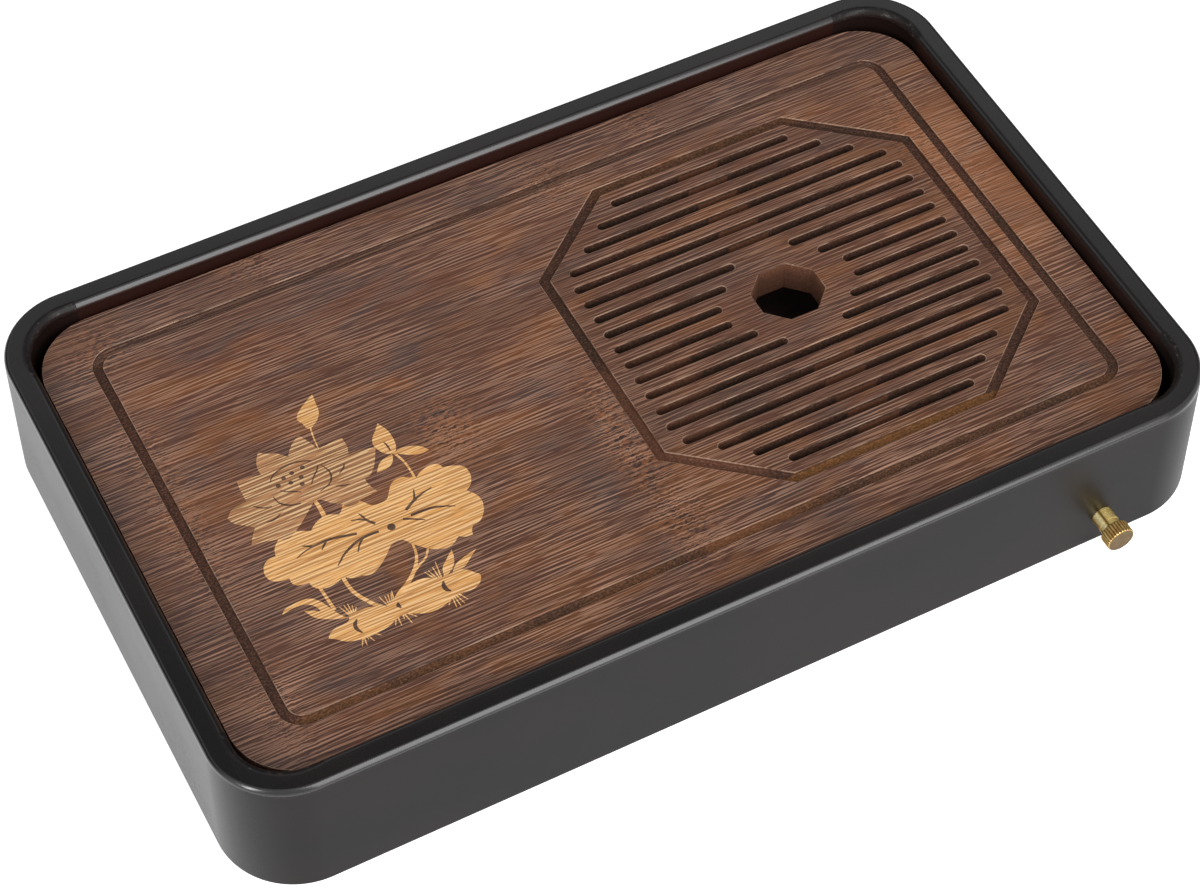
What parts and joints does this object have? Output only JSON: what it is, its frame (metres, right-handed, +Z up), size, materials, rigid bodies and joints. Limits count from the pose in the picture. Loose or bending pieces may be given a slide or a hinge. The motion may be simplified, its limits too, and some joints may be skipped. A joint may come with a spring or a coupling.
{
  "type": "gongfu tea tray",
  "caption": "Gongfu tea tray: lacquered frame and basin with a loose slotted bamboo board and a capped brass drain nozzle.",
  "frame": {"origin": "middle of the tray on the plane that its feet rest on", "axes": "+X along the long side towards the drain grille, +Y to the rear, away from the nozzle, +Z up"},
  "size_m": [0.39, 0.2527, 0.061],
  "materials": {
    "frame_lacquer": "satin black lacquer",
    "basin_lacquer": "dark lacquer",
    "dowel_wood": "raw bamboo",
    "board_bamboo": "carbonised bamboo, oiled",
    "foot_rubber": "matte",
    "seal_rubber": "matte",
    "polished_brass": "polished",
    "knurled_brass": "knurled"
  },
  "bodies": {
    "tray": {"rail_front": "frame_lacquer", "rail_rear": "frame_lacquer", "rail_left": "frame_lacquer", "rail_right": "frame_lacquer", "corner_front_left": "frame_lacquer", "corner_front_right": "frame_lacquer", "corner_rear_left": "frame_lacquer", "corner_rear_right": "frame_lacquer", "corner_dowels": "dowel_wood", "bottom_panel": "basin_lacquer", "ledge_front": "basin_lacquer", "ledge_rear": "basin_lacquer", "ledge_left": "basin_lacquer", "ledge_right": "basin_lacquer", "foot_front_left": "foot_rubber", "foot_front_right": "foot_rubber", "foot_rear_left": "foot_rubber", "foot_rear_right": "foot_rubber", "nozzle": "polished_brass", "nozzle_washer": "seal_rubber", "nozzle_lock_nut": "polished_brass"},
    "board": {"tea_board": "board_bamboo"},
    "gasket": {"cap_gasket": "seal_rubber"},
    "cap": {"cap": "knurled_brass"}
  },
  "joints": [
    {"name": "board_lift", "type": "slide", "parent": "tray", "child": "board", "axis": [0, 0, 1], "range_m": [0, 0.03]},
    {"name": "cap_travel", "type": "slide", "parent": "tray", "child": "gasket", "axis": [0, -1, 0], "range_m": [0, 0.005]},
    {"name": "cap_turn", "type": "hinge", "parent": "gasket", "child": "cap", "pos_m": [0.1435, -0.13, 0.017], "axis": [0, -1, 0], "range_deg": [0, 1800]}
  ],
  "couplings": [
    {"joint": "cap_travel", "follows": "cap_turn", "m_per_rad": 0.000159}
  ]
}
